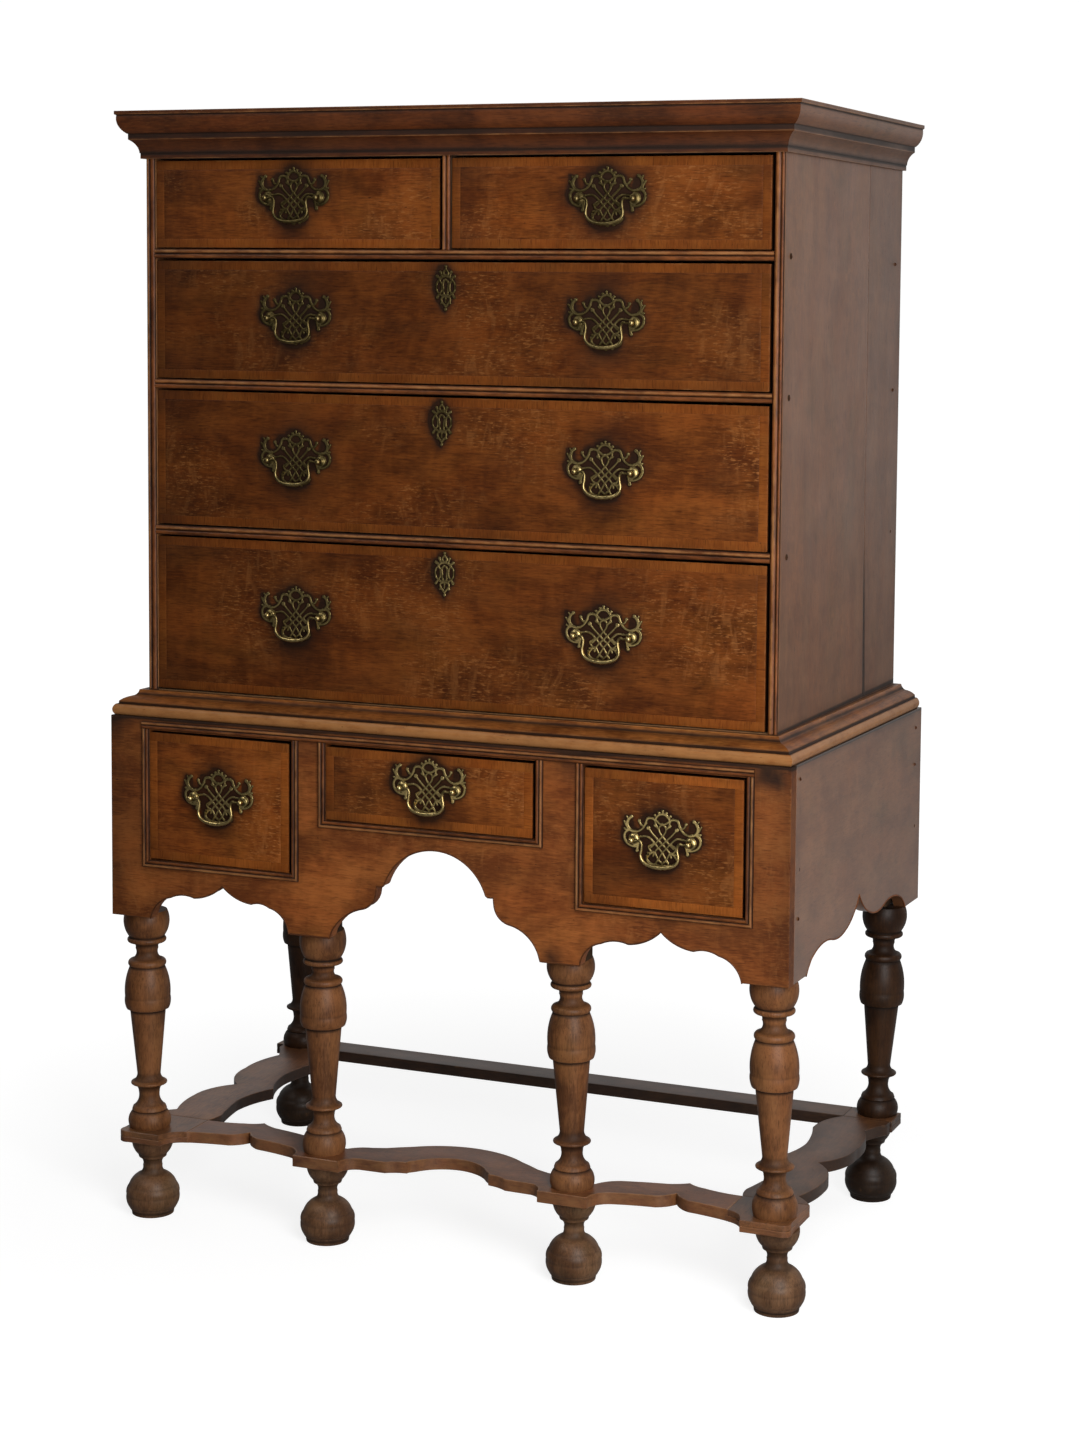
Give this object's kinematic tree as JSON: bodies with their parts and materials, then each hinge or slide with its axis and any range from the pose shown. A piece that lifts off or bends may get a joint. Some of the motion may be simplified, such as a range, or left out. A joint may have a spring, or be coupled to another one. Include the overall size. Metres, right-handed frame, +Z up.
{
  "type": "highboy chest on stand",
  "caption": "Oak chest of drawers on a stand: long and short drawers with brass bail pulls, moulded cornice, shaped apron, turned legs, flat wavy stretchers and ball feet.",
  "frame": {"origin": "on the floor, under the middle of the whole piece", "axes": "+Z up, +X to the right as the front is faced, -Y out of the drawers"},
  "size_m": [1.004, 0.6, 1.553],
  "materials": {
    "oak_case": "aged waxed oak, dark brown",
    "oak_stand": "aged waxed oak, mid brown",
    "oak_drawer": "waxed quartered oak with banded edges",
    "oak_inside": "unpolished oak inside and back",
    "brass": "cast and filed brass, worn lacquer"
  },
  "bodies": {
    "carcase": {"case_side_left": "oak_case", "case_side_right": "oak_case", "case_top": "oak_case", "case_bottom": "oak_inside", "case_back": "oak_inside", "case_drawer_frames": "oak_inside", "cornice": "oak_case", "waist_moulding": "oak_stand", "bead_mouldings": "oak_stand", "stand_front": "oak_stand", "stand_side_left": "oak_stand", "stand_side_right": "oak_stand", "stand_back": "oak_inside", "stand_top": "oak_inside", "stand_framing": "oak_inside", "leg_front_outer_left": "oak_stand", "leg_front_inner_left": "oak_stand", "leg_front_inner_right": "oak_stand", "leg_front_outer_right": "oak_stand", "leg_back_left": "oak_stand", "leg_back_right": "oak_stand", "ball_feet": "oak_stand", "stretcher_front": "oak_stand", "stretcher_back": "oak_stand", "stretcher_sides": "oak_stand"},
    "drawer_top_left": {"drawer_top_left_front": "oak_drawer", "drawer_top_left_box": "oak_inside", "drawer_top_left_brass": "brass"},
    "pull_top_left": {"bail_top_left": "brass"},
    "drawer_top_right": {"drawer_top_right_front": "oak_drawer", "drawer_top_right_box": "oak_inside", "drawer_top_right_brass": "brass"},
    "pull_top_right": {"bail_top_right": "brass"},
    "drawer_upper": {"drawer_upper_front": "oak_drawer", "drawer_upper_box": "oak_inside", "drawer_upper_brass": "brass"},
    "pull_upper_left": {"bail_upper_left": "brass"},
    "pull_upper_right": {"bail_upper_right": "brass"},
    "drawer_middle": {"drawer_middle_front": "oak_drawer", "drawer_middle_box": "oak_inside", "drawer_middle_brass": "brass"},
    "pull_middle_left": {"bail_middle_left": "brass"},
    "pull_middle_right": {"bail_middle_right": "brass"},
    "drawer_lower": {"drawer_lower_front": "oak_drawer", "drawer_lower_box": "oak_inside", "drawer_lower_brass": "brass"},
    "pull_lower_left": {"bail_lower_left": "brass"},
    "pull_lower_right": {"bail_lower_right": "brass"},
    "drawer_stand_left": {"drawer_stand_left_front": "oak_drawer", "drawer_stand_left_box": "oak_inside", "drawer_stand_left_brass": "brass"},
    "pull_stand_left": {"bail_stand_left": "brass"},
    "drawer_stand_right": {"drawer_stand_right_front": "oak_drawer", "drawer_stand_right_box": "oak_inside", "drawer_stand_right_brass": "brass"},
    "pull_stand_right": {"bail_stand_right": "brass"},
    "drawer_stand_centre": {"drawer_stand_centre_front": "oak_drawer", "drawer_stand_centre_box": "oak_inside", "drawer_stand_centre_brass": "brass"},
    "pull_stand_centre": {"bail_stand_centre": "brass"}
  },
  "joints": [
    {"name": "drawer_top_left_slide", "type": "slide", "parent": "carcase", "child": "drawer_top_left", "axis": [0, -1, 0], "range_m": [0, 0.35]},
    {"name": "pull_top_left_swing", "type": "hinge", "parent": "drawer_top_left", "child": "pull_top_left", "pos_m": [-0.2355, -0.245, 1.435], "axis": [-1, 0, 0], "range_deg": [0, 85]},
    {"name": "drawer_top_right_slide", "type": "slide", "parent": "carcase", "child": "drawer_top_right", "axis": [0, -1, 0], "range_m": [0, 0.35]},
    {"name": "pull_top_right_swing", "type": "hinge", "parent": "drawer_top_right", "child": "pull_top_right", "pos_m": [0.2215, -0.245, 1.432], "axis": [-1, 0, 0], "range_deg": [0, 85]},
    {"name": "drawer_upper_slide", "type": "slide", "parent": "carcase", "child": "drawer_upper", "axis": [0, -1, 0], "range_m": [0, 0.35]},
    {"name": "pull_upper_left_swing", "type": "hinge", "parent": "drawer_upper", "child": "pull_upper_left", "pos_m": [-0.2325, -0.245, 1.273], "axis": [-1, 0, 0], "range_deg": [0, 85]},
    {"name": "pull_upper_right_swing", "type": "hinge", "parent": "drawer_upper", "child": "pull_upper_right", "pos_m": [0.2215, -0.245, 1.273], "axis": [-1, 0, 0], "range_deg": [0, 85]},
    {"name": "drawer_middle_slide", "type": "slide", "parent": "carcase", "child": "drawer_middle", "axis": [0, -1, 0], "range_m": [0, 0.35]},
    {"name": "pull_middle_left_swing", "type": "hinge", "parent": "drawer_middle", "child": "pull_middle_left", "pos_m": [-0.2325, -0.245, 1.08], "axis": [-1, 0, 0], "range_deg": [0, 85]},
    {"name": "pull_middle_right_swing", "type": "hinge", "parent": "drawer_middle", "child": "pull_middle_right", "pos_m": [0.2215, -0.245, 1.0795], "axis": [-1, 0, 0], "range_deg": [0, 85]},
    {"name": "drawer_lower_slide", "type": "slide", "parent": "carcase", "child": "drawer_lower", "axis": [0, -1, 0], "range_m": [0, 0.35]},
    {"name": "pull_lower_left_swing", "type": "hinge", "parent": "drawer_lower", "child": "pull_lower_left", "pos_m": [-0.2325, -0.245, 0.867], "axis": [-1, 0, 0], "range_deg": [0, 85]},
    {"name": "pull_lower_right_swing", "type": "hinge", "parent": "drawer_lower", "child": "pull_lower_right", "pos_m": [0.2215, -0.245, 0.8645], "axis": [-1, 0, 0], "range_deg": [0, 85]},
    {"name": "drawer_stand_left_slide", "type": "slide", "parent": "carcase", "child": "drawer_stand_left", "axis": [0, -1, 0], "range_m": [0, 0.33]},
    {"name": "pull_stand_left_swing", "type": "hinge", "parent": "drawer_stand_left", "child": "pull_stand_left", "pos_m": [-0.328, -0.29, 0.6135], "axis": [-1, 0, 0], "range_deg": [0, 85]},
    {"name": "drawer_stand_right_slide", "type": "slide", "parent": "carcase", "child": "drawer_stand_right", "axis": [0, -1, 0], "range_m": [0, 0.33]},
    {"name": "pull_stand_right_swing", "type": "hinge", "parent": "drawer_stand_right", "child": "pull_stand_right", "pos_m": [0.324, -0.29, 0.611], "axis": [-1, 0, 0], "range_deg": [0, 85]},
    {"name": "drawer_stand_centre_slide", "type": "slide", "parent": "carcase", "child": "drawer_stand_centre", "axis": [0, -1, 0], "range_m": [0, 0.33]},
    {"name": "pull_stand_centre_swing", "type": "hinge", "parent": "drawer_stand_centre", "child": "pull_stand_centre", "pos_m": [-0.008, -0.29, 0.653], "axis": [-1, 0, 0], "range_deg": [0, 85]}
  ]
}
